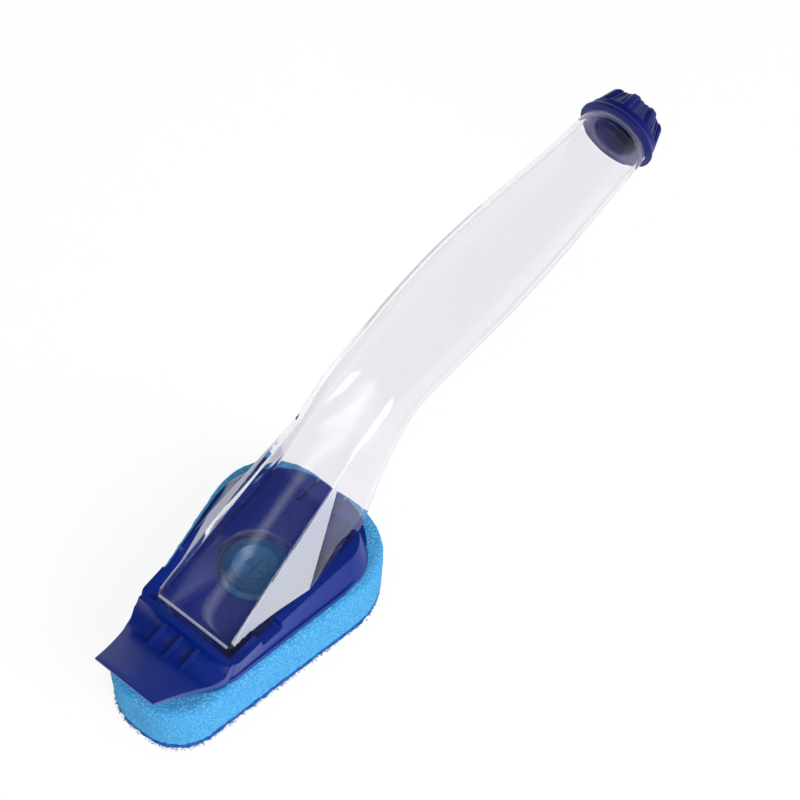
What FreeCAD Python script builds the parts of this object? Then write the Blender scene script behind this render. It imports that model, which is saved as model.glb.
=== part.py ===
import FreeCAD, Part
import math
import os

from FreeCAD import Vector

# Soap dispensing dish wand, in millimetres.
# Origin: middle of the scrub face. X runs towards the filler cap, Z points up, Y = 0 is the mirror plane.

# Sponge: rounded, wider at the back, with a thin scourer bonded under the foam
sponge_length = 89.5
sponge_front_width = 30.5
sponge_back_width = 64.7
sponge_front_radius = 15.0
sponge_back_radius = 20.3
scourer_thickness = 2.8
foam_thickness = 20.8
foam_bevel = 1.8

# Clear head: a hollow wedge with a flat sloping top
head_front = -19.5
head_back = 35.0
head_front_width = 29.6
head_back_width = 33.8
head_front_height = 6.5
ramp_angle = 25.0
ramp_back = 40.0
ramp_front_width = 27.8
ramp_back_width = 20.4
ramp_edge_radius = 1.2
ramp_back_radius = 1.2
shell_wall = 1.4
least_radius = 0.4

# Skirt of the head, which leans out over the rails: where its edge runs, and how far up the panel each stage reaches
skirt_front = -9.0
skirt_front_reach = -15.0
skirt_front_width = 27.6
skirt_belly = 9.0
skirt_belly_reach = 34.0
skirt_belly_width = 38.4
skirt_belly_level = 33.9
skirt_heel = 20.0
skirt_heel_reach = 37.0
skirt_heel_width = 36.8
skirt_heel_level = 32.0
skirt_back = 34.0
skirt_back_width = 29.6
skirt_root_width = 10.0
skirt_tuck = 0.7

# Handle: where its centreline passes, its width and its thickness there
waist_x = 63.0
waist_z = 60.0
waist_tilt = 14.0
waist_width = 26.0
waist_thickness = 20.4
waist_roundness = 0.74
crest_x = 90.0
crest_z = 62.3
crest_width = 29.2
crest_thickness = 21.0
crest_roundness = 0.8
grip_x = 110.0
grip_z = 62.0
grip_width = 30.4
grip_thickness = 21.6
grip_roundness = 0.82
tail_x = 152.0
tail_z = 60.0
tail_width = 26.6
tail_thickness = 23.2
tail_roundness = 0.9
end_x = 180.0
end_z = 60.4
end_tilt = 9.0
end_diameter = 24.4
end_roundness = 0.98
shoulder_bevel = 1.0
neck_steps = 7
grip_steps = 9
slope_step = 0.1

# Filler neck, screw cap and its sealing liner
neck_diameter = 15.2
neck_bore = 11.6
neck_length = 8.0
cap_gap = 0.4
cap_thread_gap = 0.6
cap_collar_diameter = 27.0
cap_collar_edge = 0.7
cap_collar_height = 3.6
cap_flare_sag = 0.6
cap_waist_diameter = 23.4
cap_tip_diameter = 17.6
cap_roof = 2.0
cap_tip_bevel = 0.9
cap_rib_count = 8
cap_rib_width = 2.9
cap_rib_stand = 1.6
cap_rib_foot_stand = 0.7
cap_rib_bevel = 0.6
cap_fine_rib_count = 2
cap_fine_rib_width = 1.2
cap_fine_rib_share = 0.3
cap_fine_rib_bevel = 0.15
liner_thickness = 1.2
liner_gap = 0.3

# Floor of the head, with a flange that slides in the base and a boss for the valve
floor_thickness = 1.8
flange_reach = 1.0
slide_gap = 0.2
slide_run = 50.0
valve_x = 7.3
valve_flange_diameter = 18.0
valve_flange_thickness = 1.2
valve_lip_diameter = 13.0
valve_gap = 0.2
valve_ledge = 0.6
valve_membrane = 0.6
valve_dish_diameter = 7.0
valve_slit_length = 7.0
valve_slit_width = 0.25
boss_wall = 1.7
retainer_bore = 13.0
retainer_thickness = 1.6

# Sponge base: plate, rails, front wall and scraper
plate_thickness = 2.0
plate_front = -25.0
plate_back = 42.3
plate_front_width = 34.6
plate_back_width = 57.6
plate_front_radius = 4.0
plate_back_radius = 22.0
soap_hole_diameter = 20.0
rail_gap = 0.25
rail_wall = 2.0
rail_height_front = 7.0
rail_height_back = 5.0
rail_end = 36.0
rail_end_radius = 12.0
rail_ridge_radius = 10.0
rail_foot_inset = 0.3
lip_gap = 0.4
notch_start = -11.0
notch_length = 8.0
notch_depth = 3.2
notch_radius = 1.2
scraper_tip = -46.4
scraper_tip_height = 17.4
scraper_tip_width = 21.0
scraper_neck_width = 26.0
scraper_edge = 0.8
cove_radius = 5.0
cove_reach = 2.6
cove_floor = 2.4
keel_reach = 2.5
keel_radius = 6.0
gusset_count = 3
gusset_pitch = 6.0
gusset_thickness = 1.4
gusset_top_share = 0.25
gusset_reach = 7.0
latch_width = 9.0
latch_length = 10.0
latch_slot = 1.0

# Levels that follow from the sizes above
foam_bottom = scourer_thickness
plate_bottom = foam_bottom + foam_thickness
plate_top = plate_bottom + plate_thickness
floor_bottom = plate_top + slide_gap
floor_top = floor_bottom + floor_thickness
ramp_slope = math.tan(math.radians(ramp_angle))
through = 200.0


def rounded_polygon(corners, radii):
    """Closed flat wire of straight runs, each corner rounded by its own radius."""
    arcs = []
    for index, corner in enumerate(corners):
        back = (corners[index - 1] - corner).normalize()
        ahead = (corners[(index + 1) % len(corners)] - corner).normalize()
        half = back.getAngle(ahead) / 2
        reach = radii[index] / math.tan(half)
        inward = (back + ahead).normalize()
        depth = radii[index] / math.sin(half) - radii[index]
        arcs.append((corner + back * reach, corner + inward * depth, corner + ahead * reach))
    edges = []
    for index, (start, middle, end) in enumerate(arcs):
        if radii[index] > 0:
            edges.append(Part.Arc(start, middle, end).toShape())
        edges.append(Part.LineSegment(end, arcs[(index + 1) % len(arcs)][0]).toShape())
    return Part.Wire(edges)


def plan_outline(front, back, front_width, back_width, front_radius, back_radius, level):
    """Level outline with straight sides that spread towards the back."""
    corners = [
        Vector(front, -front_width / 2, level),
        Vector(back, -back_width / 2, level),
        Vector(back, back_width / 2, level),
        Vector(front, front_width / 2, level),
    ]
    return rounded_polygon(corners, [front_radius, back_radius, back_radius, front_radius])


def raised(wire, height):
    """Solid standing on a level outline."""
    return Part.Face(wire).extrude(Vector(0, 0, height))


def across(wire, width):
    """Solid of a side profile, centred on the mirror plane."""
    face = Part.Face(wire)
    face.translate(Vector(0, -width / 2, 0))
    return face.extrude(Vector(0, width, 0))


def side_polygon(points):
    """Closed wire in the mirror plane from (x, z) points."""
    corners = [Vector(x, 0, z) for x, z in points]
    return Part.makePolygon(corners + corners[:1])


def on_ramp(x, inset):
    """Point of the sloping top panel above x, or of its inner face."""
    drop = inset / math.cos(math.radians(ramp_angle))
    return Vector(x, 0, floor_top + head_front_height + (x - head_front) * ramp_slope - drop)


def spread(x, front_width, back_width):
    """Width at x of a head outline that spreads evenly from its front to its back."""
    share = (x - head_front) / (head_back - head_front)
    return front_width + (back_width - front_width) * share


def between(start, end, share):
    """Value that goes evenly from start to end."""
    return start + (end - start) * share


def leaning_up(tilt):
    """Unit vector square to a centreline that climbs by tilt degrees."""
    return Vector(-math.sin(math.radians(tilt)), 0, math.cos(math.radians(tilt)))


def section(top, foot, top_width, foot_width, top_radius, foot_radius):
    """Rounded outline across the body between a point of its top line and one of its underside."""
    side = Vector(0, 1, 0)
    corners = [
        top + side * (top_width / 2),
        top - side * (top_width / 2),
        foot - side * (foot_width / 2),
        foot + side * (foot_width / 2),
    ]
    return rounded_polygon(corners, [top_radius, top_radius, foot_radius, foot_radius])


def head_front_section(inset):
    """Upright front of the wedge. The hollow runs on below the floor, so the wedge is open there."""
    x = head_front + inset
    foot = Vector(x, 0, floor_top - inset)
    radius = max(ramp_edge_radius - inset, least_radius)
    return section(on_ramp(x, inset), foot, ramp_front_width - 2 * inset, head_front_width - 2 * inset,
                   radius, least_radius)


def skirt_section(reach, place, width, level, inset):
    """Wedge across one side: from the panel's edge down to the skirt's edge and in under it."""
    share = (reach - head_front) / (ramp_back - head_front)
    top_width = between(ramp_front_width, ramp_back_width, share)
    corners = [
        on_ramp(reach, inset + ramp_edge_radius) + Vector(0, top_width / 2 - skirt_tuck - inset, 0),
        Vector(place, width / 2 - 2 * inset, level + inset),
        Vector(place, skirt_root_width / 2, level + inset),
    ]
    return Part.makePolygon(corners + corners[:1])


def skirt(inset):
    """Skirt on both sides of the head, or with an inset the hollow inside it."""
    half = Part.makeLoft([
        skirt_section(skirt_front_reach, skirt_front, skirt_front_width, skirt_belly_level, inset),
        skirt_section(skirt_belly_reach, skirt_belly, skirt_belly_width, skirt_belly_level, inset),
        skirt_section(skirt_heel_reach, skirt_heel, skirt_heel_width, skirt_heel_level, inset),
        skirt_section(ramp_back, skirt_back, skirt_back_width, skirt_heel_level, inset),
    ], True, True)
    return [half, half.mirror(Vector(0, 0, 0), Vector(0, 1, 0))]


def handle_section(x, z, tilt, width, thickness, roundness, inset):
    """Section of the handle square to its centreline."""
    up = leaning_up(tilt)
    centre = Vector(x, 0, z)
    half = thickness / 2 - inset
    radius = (min(width, thickness) / 2 - inset) * roundness
    across_width = width - 2 * inset
    return section(centre + up * half, centre - up * half, across_width, across_width, radius, radius)


def arch_point(share, inset):
    """Point of the finger arch: one arc from the head's back corner, 0, to a smooth landing at the waist, 1."""
    up = leaning_up(waist_tilt)
    landing = Vector(waist_x, 0, waist_z) - up * (waist_thickness / 2)
    corner = Vector(head_back, 0, floor_top)
    chord = landing - corner
    radius = chord.Length ** 2 / (2 * chord.dot(up))
    centre = landing - up * radius
    reach = radius + inset
    start = math.asin((floor_top - inset - centre.z) / reach)
    end = math.radians(90 - waist_tilt)
    angle = between(start, end, share)
    return centre + Vector(-math.cos(angle), 0, math.sin(angle)) * reach


def neck_section(share, inset):
    """Section between the head's back, 0, and the waist, 1, with its foot on the finger arch."""
    waist_top = Vector(waist_x, 0, waist_z) + leaning_up(waist_tilt) * (waist_thickness / 2)
    top = on_ramp(between(ramp_back, waist_top.x, share), inset)
    foot = arch_point(share, inset)
    waist_radius = waist_thickness / 2 * waist_roundness
    top_radius = max(between(ramp_back_radius, waist_radius, share) - inset, least_radius)
    foot_radius = max(between(least_radius, waist_radius, share) - inset, least_radius)
    top_width = between(ramp_back_width, waist_width, share) - 2 * inset
    foot_width = between(head_back_width, waist_width, share) - 2 * inset
    return section(top, foot, top_width, foot_width, top_radius, foot_radius)


def end_direction():
    """Unit vector along the filler neck."""
    lean = math.radians(end_tilt)
    return Vector(math.cos(lean), 0, math.sin(lean))


def end_section(step, trim, inset):
    """Round section near the handle's end, a step along its axis and smaller by a trim."""
    centre = Vector(end_x, 0, end_z) + end_direction() * step
    size = end_diameter - 2 * trim
    return handle_section(centre.x, centre.z, end_tilt, size, size, end_roundness, inset)


def even_slopes(places, values, first, last):
    """Slopes for a smooth curve through values: set at both ends, and averaged over the neighbours between."""
    slopes = [first]
    for index in range(1, len(places) - 1):
        slopes.append((values[index + 1] - values[index - 1]) / (places[index + 1] - places[index - 1]))
    return slopes + [last]


def smooth(places, values, slopes, x):
    """Value at x of the cubic curve through values at places with those slopes."""
    span = 0
    while span < len(places) - 2 and x > places[span + 1]:
        span += 1
    width = places[span + 1] - places[span]
    t = (x - places[span]) / width
    start = (1 + 2 * t) * (1 - t) ** 2 * values[span] + t * (1 - t) ** 2 * width * slopes[span]
    end = t * t * (3 - 2 * t) * values[span + 1] + t * t * (t - 1) * width * slopes[span + 1]
    return start + end


def grip_section(x, inset):
    """Section of the handle above x, between the waist and the end."""
    places = [waist_x, crest_x, grip_x, tail_x, end_x]
    heights = [waist_z, crest_z, grip_z, tail_z, end_z]
    climb = even_slopes(places, heights, math.tan(math.radians(waist_tilt)), math.tan(math.radians(end_tilt)))
    rise = smooth(places, heights, climb, x + slope_step) - smooth(places, heights, climb, x - slope_step)
    tilt = math.degrees(math.atan2(rise, 2 * slope_step))
    sizes = []
    for values in (
        [waist_width, crest_width, grip_width, tail_width, end_diameter],
        [waist_thickness, crest_thickness, grip_thickness, tail_thickness, end_diameter],
        [waist_roundness, crest_roundness, grip_roundness, tail_roundness, end_roundness],
    ):
        sizes.append(smooth(places, values, even_slopes(places, values, 0, 0), x))
    return handle_section(x, smooth(places, heights, climb, x), tilt, *sizes, inset)


def body_form(inset):
    """Outer form of the head and handle, or with an inset the hollow inside it."""
    sections = [head_front_section(inset)]
    for index in range(neck_steps):
        sections.append(neck_section(index / neck_steps, inset))
    for index in range(grip_steps):
        sections.append(grip_section(between(waist_x, end_x, index / grip_steps), inset))
    sections.append(end_section(-inset, 0, inset))
    return Part.makeLoft(sections, True, True)


def handle_reservoir():
    """Clear hollow wedge and handle, open under the head and at the filler neck."""
    along = end_direction()
    end = Vector(end_x, 0, end_z)
    shoulder = Part.makeLoft([end_section(0, 0, 0), end_section(shoulder_bevel, shoulder_bevel, 0)], True, True)
    neck = Part.makeCylinder(neck_diameter / 2, neck_length + shoulder_bevel, end, along)
    depth = 2 * shell_wall
    bore_length = depth + shoulder_bevel + neck_length + shell_wall
    bore = Part.makeCylinder(neck_bore / 2, bore_length, end - along * depth, along)
    outside = body_form(0).fuse([shoulder, neck] + skirt(0))
    return outside.cut([body_form(shell_wall), bore] + skirt(shell_wall)).removeSplitter()


def on_neck(shape):
    """Carry a shape made along +Z from the neck's shoulder to its place on the handle."""
    shape.rotate(Vector(0, 0, 0), Vector(0, 1, 0), 90 - end_tilt)
    shape.translate(Vector(end_x, 0, end_z) + end_direction() * shoulder_bevel)
    return shape


def crown_outline(radius, stand, height):
    """Corners of the cap's grip at one level: large ribs, with lower fine ribs in each gap between them."""
    places = cap_fine_rib_count + 1
    points = []
    for index in range(cap_rib_count * places):
        half, rise, bevel = cap_rib_width / 2, stand, cap_rib_bevel
        if index % places:
            half, rise, bevel = cap_fine_rib_width / 2, stand * cap_fine_rib_share, cap_fine_rib_bevel
        crest = radius + rise
        corners = [(radius, -half), (crest - bevel, -half), (crest, bevel - half)]
        corners += [(out, -side) for out, side in reversed(corners)]
        turn = FreeCAD.Rotation(Vector(0, 0, 1), 360 * index / (cap_rib_count * places))
        points += [turn.multVec(Vector(out, side, height)) for out, side in corners]
    return points


def flat_sided(outlines):
    """Solid of flat faces between level outlines that have as many corners."""
    rings = [outlines[0], outlines[-1]]
    for low, high in zip(outlines, outlines[1:]):
        for index in range(len(low)):
            rings.append([low[index - 1], low[index], high[index]])
            rings.append([low[index - 1], high[index], high[index - 1]])
    faces = [Part.Face(Part.makePolygon(ring + ring[:1])) for ring in rings]
    return Part.Solid(Part.Shell(faces))


def collar():
    """Smooth skirt of the cap: an upright edge, then a flare in two cones up to the ribs' feet."""
    rim = cap_collar_diameter / 2
    foot = cap_waist_diameter / 2 + cap_rib_foot_stand
    top = cap_gap + cap_collar_height
    edge = cap_gap + cap_collar_edge
    corners = [
        Vector(0, 0, cap_gap),
        Vector(rim, 0, cap_gap),
        Vector(rim, 0, edge),
        Vector((rim + foot) / 2 - cap_flare_sag, 0, (edge + top) / 2),
        Vector(foot, 0, top),
        Vector(0, 0, top),
    ]
    face = Part.Face(Part.makePolygon(corners + corners[:1]))
    return face.revolve(Vector(0, 0, 0), Vector(0, 0, 1), 360)


def filler_cap():
    """Conical screw cap with a smooth flared collar and a crown of ribs."""
    roof = neck_length + liner_thickness
    top = roof + cap_roof
    tip = cap_tip_diameter / 2
    crown = flat_sided([
        crown_outline(cap_waist_diameter / 2, cap_rib_foot_stand, cap_gap + cap_collar_height),
        crown_outline(tip, cap_rib_stand, top - cap_tip_bevel),
        crown_outline(tip - cap_tip_bevel, cap_rib_stand, top),
    ])
    hollow = Part.makeCylinder(neck_diameter / 2 + cap_thread_gap, roof)
    return on_neck(collar().fuse(crown).cut(hollow).removeSplitter())


def cap_liner():
    """Sealing disc between the neck's rim and the cap's roof."""
    radius = neck_diameter / 2 + cap_thread_gap - liner_gap
    return on_neck(Part.makeCylinder(radius, liner_thickness, Vector(0, 0, neck_length)))


def head_floor():
    """Clear plate welded under the head: slide flange all round and a boss for the valve."""
    reach = 2 * flange_reach
    plate = raised(plan_outline(
        head_front - flange_reach, head_back + rail_gap,
        head_front_width + reach, head_back_width + reach,
        ramp_edge_radius, ramp_edge_radius, floor_bottom), floor_thickness)
    seat = valve_flange_diameter / 2 + valve_gap
    ledge = floor_bottom + floor_thickness - valve_ledge
    boss_height = valve_flange_thickness + retainer_thickness - valve_ledge
    centre = Vector(valve_x, 0, floor_top)
    boss = Part.makeCylinder(seat + boss_wall, boss_height, centre)
    pocket = Part.makeCylinder(seat, through, Vector(valve_x, 0, ledge))
    outlet = Part.makeCylinder(valve_lip_diameter / 2 + valve_gap, through, Vector(valve_x, 0, 0))
    return plate.fuse(boss).cut(pocket).cut(outlet).removeSplitter()


def outlet_valve():
    """Silicone slit valve: a flange that lies on the ledge and a lip that ends flush with the floor."""
    ledge = floor_top - valve_ledge
    flange = Part.makeCylinder(valve_flange_diameter / 2, valve_flange_thickness, Vector(valve_x, 0, ledge))
    lip_height = floor_thickness - valve_ledge
    lip = Part.makeCylinder(valve_lip_diameter / 2, lip_height, Vector(valve_x, 0, floor_bottom))
    valve = flange.fuse(lip).removeSplitter()
    dish_depth = valve_flange_thickness + lip_height - valve_membrane
    dish = Part.makeCone(valve_dish_diameter / 2, retainer_bore / 2, dish_depth,
                         Vector(valve_x, 0, floor_bottom + valve_membrane))
    valve = valve.cut(dish)
    for turn in (0, 90):
        slit = Part.makeBox(valve_slit_length, valve_slit_width, through,
                            Vector(-valve_slit_length / 2, -valve_slit_width / 2, 0))
        slit.rotate(Vector(0, 0, 0), Vector(0, 0, 1), turn)
        slit.translate(Vector(valve_x, 0, 0))
        valve = valve.cut(slit)
    return valve


def valve_retainer():
    """Ring pressed into the boss on top of the valve's flange."""
    bottom = floor_top - valve_ledge + valve_flange_thickness
    outer = valve_flange_diameter / 2
    ring = Part.makeCylinder(outer, retainer_thickness, Vector(valve_x, 0, bottom))
    return ring.cut(Part.makeCylinder(retainer_bore / 2, through, Vector(valve_x, 0, 0)))


def rail_top(x):
    """Height of the rails' top edge, which falls towards the back."""
    share = (x - plate_front) / (rail_end - plate_front)
    return plate_top + rail_height_front + (rail_height_back - rail_height_front) * share


def slide_channel(gap, extra_width, bottom, top):
    """Space that the head takes in the base, run out through the open back."""
    front = head_front - flange_reach - rail_gap
    back = head_back + slide_run
    front_width = spread(front, head_front_width, head_back_width) + extra_width + 2 * gap
    back_width = spread(back, head_front_width, head_back_width) + extra_width + 2 * gap
    corners = plan_outline(front, back, front_width, back_width, 0, 0, bottom)
    return raised(corners, top - bottom)


def rail_block():
    """Sloping side walls and front wall in one piece, before the head's channel is cut."""
    outside = 2 * (flange_reach + rail_gap + rail_wall)
    front = head_front - flange_reach - rail_gap - rail_wall
    crest = plate_top + rail_height_front
    foot = plan_outline(plate_front + rail_foot_inset, rail_end,
                        plate_front_width - 2 * rail_foot_inset,
                        spread_plate(rail_end) - 2 * rail_foot_inset,
                        plate_front_radius, rail_end_radius, plate_bottom + plate_thickness / 2)
    ridge = plan_outline(front, rail_end, spread(front, head_front_width, head_back_width) + outside,
                         spread(rail_end, head_front_width, head_back_width) + outside,
                         plate_front_radius, rail_ridge_radius, crest)
    above = across(side_polygon([
        (-through, rail_top(-through)), (through, rail_top(through)),
        (through, through), (-through, through)]), through)
    return Part.makeLoft([foot, ridge], True, True).cut(above)


def spread_plate(x):
    """Width of the base plate's straight sides, carried on to x."""
    share = (x - plate_front) / (plate_back - plate_front)
    return plate_front_width + (plate_back_width - plate_front_width) * share


def front_wall():
    """Outer top edge of the wall in front of the head."""
    x = head_front - flange_reach - rail_gap - rail_wall
    return Vector(x, 0, rail_top(x))


def scraper():
    """Upturned blade in front of the base: a coved side profile trimmed to a waisted plan."""
    crest = front_wall()
    root = crest.x + rail_wall / 2
    tip = Vector(scraper_tip, 0, plate_bottom + scraper_tip_height)
    corners = [
        Vector(root, 0, plate_bottom),
        Vector(root, 0, crest.z),
        crest,
        cove_corner(),
        tip,
        tip - Vector(0, 0, scraper_edge),
        Vector(plate_front - keel_reach, 0, plate_bottom),
    ]
    profile = rounded_polygon(corners, [0, 0, 0, cove_radius, 0, 0, keel_radius])
    return across(profile, through).common(scraper_plan(root))


def cove_corner():
    """Point where the planes of the front wall and the blade would meet without the cove."""
    crest = front_wall()
    return Vector(crest.x - cove_reach, 0, plate_bottom + cove_floor)


def scraper_plan(root):
    """Plan of the blade: sides that curve in from the base and end in sharp corners."""
    shoulder = plate_front_width / 2 - rail_foot_inset
    neck_x = (plate_front + scraper_tip) / 2
    right = [
        Vector(root, -shoulder, 0),
        Vector(plate_front, -shoulder, 0),
        Vector(neck_x, -scraper_neck_width / 2, 0),
        Vector(scraper_tip, -scraper_tip_width / 2, 0),
    ]
    left = [Vector(point.x, -point.y, 0) for point in right]
    edges = [
        Part.LineSegment(right[0], right[1]).toShape(),
        Part.Arc(right[1], right[2], right[3]).toShape(),
        Part.LineSegment(right[3], left[3]).toShape(),
        Part.Arc(left[3], left[2], left[1]).toShape(),
        Part.LineSegment(left[1], left[0]).toShape(),
        Part.LineSegment(left[0], right[0]).toShape(),
    ]
    return raised(Part.Wire(edges), through)


def gussets():
    """Small ribs that brace the front wall in the cove."""
    crest = front_wall()
    valley = cove_corner()
    top = crest + (valley - crest) * gusset_top_share
    tip = Vector(scraper_tip, 0, plate_bottom + scraper_tip_height)
    landing = valley + (tip - valley).normalize() * gusset_reach
    profile = side_polygon([(crest.x, plate_top), (crest.x, top.z), (top.x, top.z),
                            (landing.x, landing.z), (valley.x, plate_top)])
    pieces = []
    for index in range(gusset_count):
        piece = across(profile, gusset_thickness)
        piece.translate(Vector(0, (index - (gusset_count - 1) / 2) * gusset_pitch, 0))
        pieces.append(piece)
    return pieces


def notch():
    """Clip notch in the top of both rails, as one bar across the base."""
    bottom = plate_top + rail_height_front - notch_depth
    corners = [
        Vector(notch_start, 0, bottom),
        Vector(notch_start + notch_length, 0, bottom),
        Vector(notch_start + notch_length, 0, through),
        Vector(notch_start, 0, through),
    ]
    return across(rounded_polygon(corners, [notch_radius, notch_radius, 0, 0]), through)


def latch_slots():
    """Slots that free a springy tongue at the back of the plate."""
    start = plate_back - latch_length
    slots = []
    for side in (-1, 1):
        centre = side * (latch_width + latch_slot) / 2
        slots.append(Part.makeBox(through, latch_slot, through, Vector(start, centre - latch_slot / 2, 0)))
    return slots


def sponge_base():
    """Carrier that slides on the head: plate, rails with lips, front wall and scraper."""
    plate = raised(plan_outline(plate_front, plate_back, plate_front_width, plate_back_width,
                                plate_front_radius, plate_back_radius, plate_bottom), plate_thickness)
    lip_level = floor_top + lip_gap
    flange_space = slide_channel(rail_gap, 2 * flange_reach, plate_top, lip_level)
    head_space = slide_channel(lip_gap, 0, lip_level, through)
    hole = Part.makeCylinder(soap_hole_diameter / 2, through, Vector(valve_x, 0, 0))
    solid = plate.fuse([rail_block(), scraper()] + gussets())
    return solid.cut([flange_space, head_space, hole, notch()] + latch_slots()).removeSplitter()


def sponge_foam():
    """Open-cell foam block with a bevelled upper edge."""
    block = raised(plan_outline(-sponge_length / 2, sponge_length / 2, sponge_front_width, sponge_back_width,
                                sponge_front_radius, sponge_back_radius, foam_bottom), foam_thickness)
    rim = [edge for edge in block.Edges if edge.BoundBox.ZMin > plate_bottom - foam_thickness / 2]
    return block.makeChamfer(foam_bevel, rim)


def scourer_pad():
    """Abrasive layer under the foam."""
    return raised(plan_outline(-sponge_length / 2, sponge_length / 2, sponge_front_width, sponge_back_width,
                               sponge_front_radius, sponge_back_radius, 0), scourer_thickness)


pieces = {
    "handle_reservoir": handle_reservoir(),
    "head_floor": head_floor(),
    "outlet_valve": outlet_valve(),
    "valve_retainer": valve_retainer(),
    "filler_cap": filler_cap(),
    "cap_liner": cap_liner(),
    "sponge_base": sponge_base(),
    "sponge_foam": sponge_foam(),
    "scourer_pad": scourer_pad(),
}

os.makedirs("parts", exist_ok=True)
for name, shape in pieces.items():
    shape.exportStep(f"parts/{name}.step")
    print(name, shape.isValid(), len(shape.Solids), round(shape.Volume / 1000, 2), "cm3")
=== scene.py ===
# %% [markdown]
# # A soap-dispensing dish wand
# The wand has a clear hollow handle that holds washing-up liquid, a navy carrier with a scraper that slides
# on its head, a block of blue foam with a scouring layer under it, and a ribbed screw cap.
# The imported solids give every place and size. This lesson dresses them: smooth clear plastic, softened
# moulded edges, open foam and a fuzzy scourer.

# %% Load the frame
import math
import random

import bmesh
import bpy
from mathutils import Matrix, Vector


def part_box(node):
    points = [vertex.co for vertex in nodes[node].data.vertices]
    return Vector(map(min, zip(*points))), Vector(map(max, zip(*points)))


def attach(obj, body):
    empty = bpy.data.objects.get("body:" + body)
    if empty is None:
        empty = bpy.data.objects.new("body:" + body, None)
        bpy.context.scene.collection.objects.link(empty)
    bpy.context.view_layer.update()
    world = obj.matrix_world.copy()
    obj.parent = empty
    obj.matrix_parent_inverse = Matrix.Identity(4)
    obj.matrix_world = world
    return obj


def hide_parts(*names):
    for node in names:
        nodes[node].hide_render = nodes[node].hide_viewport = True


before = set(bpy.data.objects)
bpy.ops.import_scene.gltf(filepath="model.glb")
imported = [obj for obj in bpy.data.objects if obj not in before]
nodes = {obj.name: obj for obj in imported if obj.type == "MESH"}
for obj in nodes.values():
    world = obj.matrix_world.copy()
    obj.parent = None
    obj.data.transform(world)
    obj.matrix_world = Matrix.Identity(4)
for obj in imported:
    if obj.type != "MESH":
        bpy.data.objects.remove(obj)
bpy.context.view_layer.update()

MM = 0.001
print("solids:", sorted(nodes))

# %% [markdown]
# ## Working by hand, in code
# Each step below is what a modeller does at the screen: pick one object, go into edit mode, select some
# vertices, run an operator, and apply a modifier. These few helpers keep the selection clean, because an
# operator acts on everything that is selected.

# %% Selection and modifier helpers
def only(piece):
    """Select one object and make it the active one."""
    bpy.ops.object.select_all(action="DESELECT")
    piece.select_set(True)
    bpy.context.view_layer.objects.active = piece


def edit(piece):
    """Go into edit mode on one object, with nothing selected in it."""
    only(piece)
    bpy.ops.object.mode_set(mode="EDIT")
    bpy.ops.mesh.select_mode(type="VERT")
    bpy.ops.mesh.select_all(action="DESELECT")


def pick(piece, test):
    """In edit mode, select just the vertices that pass a test."""
    bpy.ops.mesh.select_all(action="DESELECT")
    mesh = bmesh.from_edit_mesh(piece.data)
    for vertex in mesh.verts:
        if test(vertex):
            vertex.select_set(True)
    mesh.select_flush(True)
    bmesh.update_edit_mesh(piece.data)


def done():
    """Leave edit mode."""
    bpy.ops.object.mode_set(mode="OBJECT")


def apply(piece, kind, **settings):
    """Add a modifier with these settings and apply it."""
    modifier = piece.modifiers.new(kind.lower(), kind)
    for name, value in settings.items():
        setattr(modifier, name, value)
    only(piece)
    bpy.ops.object.modifier_apply(modifier=modifier.name)


def named(name):
    """Name the object that the last operator made."""
    piece = bpy.context.active_object
    piece.name = name
    piece.data.name = name
    return piece


def faces_of(piece):
    return len(piece.data.polygons)


# %% [markdown]
# ## Colours and nodes
# Colours are written as sRGB hex, as a colour picker shows them, and turned to linear light once. One small
# function adds a shader node: a plain value goes to the socket, another node's output is linked to it.

# %% Colour and node helpers
MIX_A, MIX_B, MIX_OUT = 6, 7, 2  # the colour sockets of a Mix node, whose names repeat


def linear(hex_colour):
    """sRGB hex to linear red, green, blue and alpha."""
    channels = [int(hex_colour[index:index + 2], 16) / 255 for index in (1, 3, 5)]
    return [c / 12.92 if c <= 0.04045 else ((c + 0.055) / 1.055) ** 2.4 for c in channels] + [1.0]


def add(tree, kind, inputs=None, **properties):
    """Add a node, set its properties, and set or link its sockets."""
    made = tree.nodes.new(kind)
    for name, value in properties.items():
        setattr(made, name, value)
    for socket, value in (inputs or {}).items():
        if isinstance(value, bpy.types.NodeSocket):
            tree.links.new(value, made.inputs[socket])
        else:
            made.inputs[socket].default_value = value
    return made


def material(name, colour, **sockets):
    """A material with a principled shader of one colour; sockets are named with underscores for spaces."""
    made = bpy.data.materials.new(name)
    made.use_nodes = True
    shader = made.node_tree.nodes["Principled BSDF"]
    shader.inputs["Base Color"].default_value = linear(colour)
    for socket, value in sockets.items():
        shader.inputs[socket.replace("_", " ")].default_value = value
    return made, made.node_tree, shader


def per_metre(size_mm):
    """Scale of a texture whose features are about this many millimetres wide."""
    return 1 / (size_mm * MM)


def tinted(tree, shader, share, first, second):
    """Mix two colours by a share for the shader's base."""
    tint = add(tree, "ShaderNodeMix", {0: share, MIX_A: first, MIX_B: second}, data_type="RGBA")
    tree.links.new(tint.outputs[MIX_OUT], shader.inputs["Base Color"])


def ramped(tree, value, *stops):
    """Colours along a value, from a place and a colour for each of the two stops."""
    ramp = add(tree, "ShaderNodeValToRGB", {"Fac": value})
    for element, (position, colour) in zip(ramp.color_ramp.elements, stops):
        element.position = position
        element.color = linear(colour)
    return ramp.outputs["Color"]


def bumped(tree, shader, height, strength, depth_mm):
    """Bend the shader's normal by a height, and give the bent normal."""
    bump = add(tree, "ShaderNodeBump", {"Height": height, "Strength": strength, "Distance": depth_mm * MM})
    tree.links.new(bump.outputs["Normal"], shader.inputs["Normal"])
    return bump.outputs["Normal"]


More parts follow.
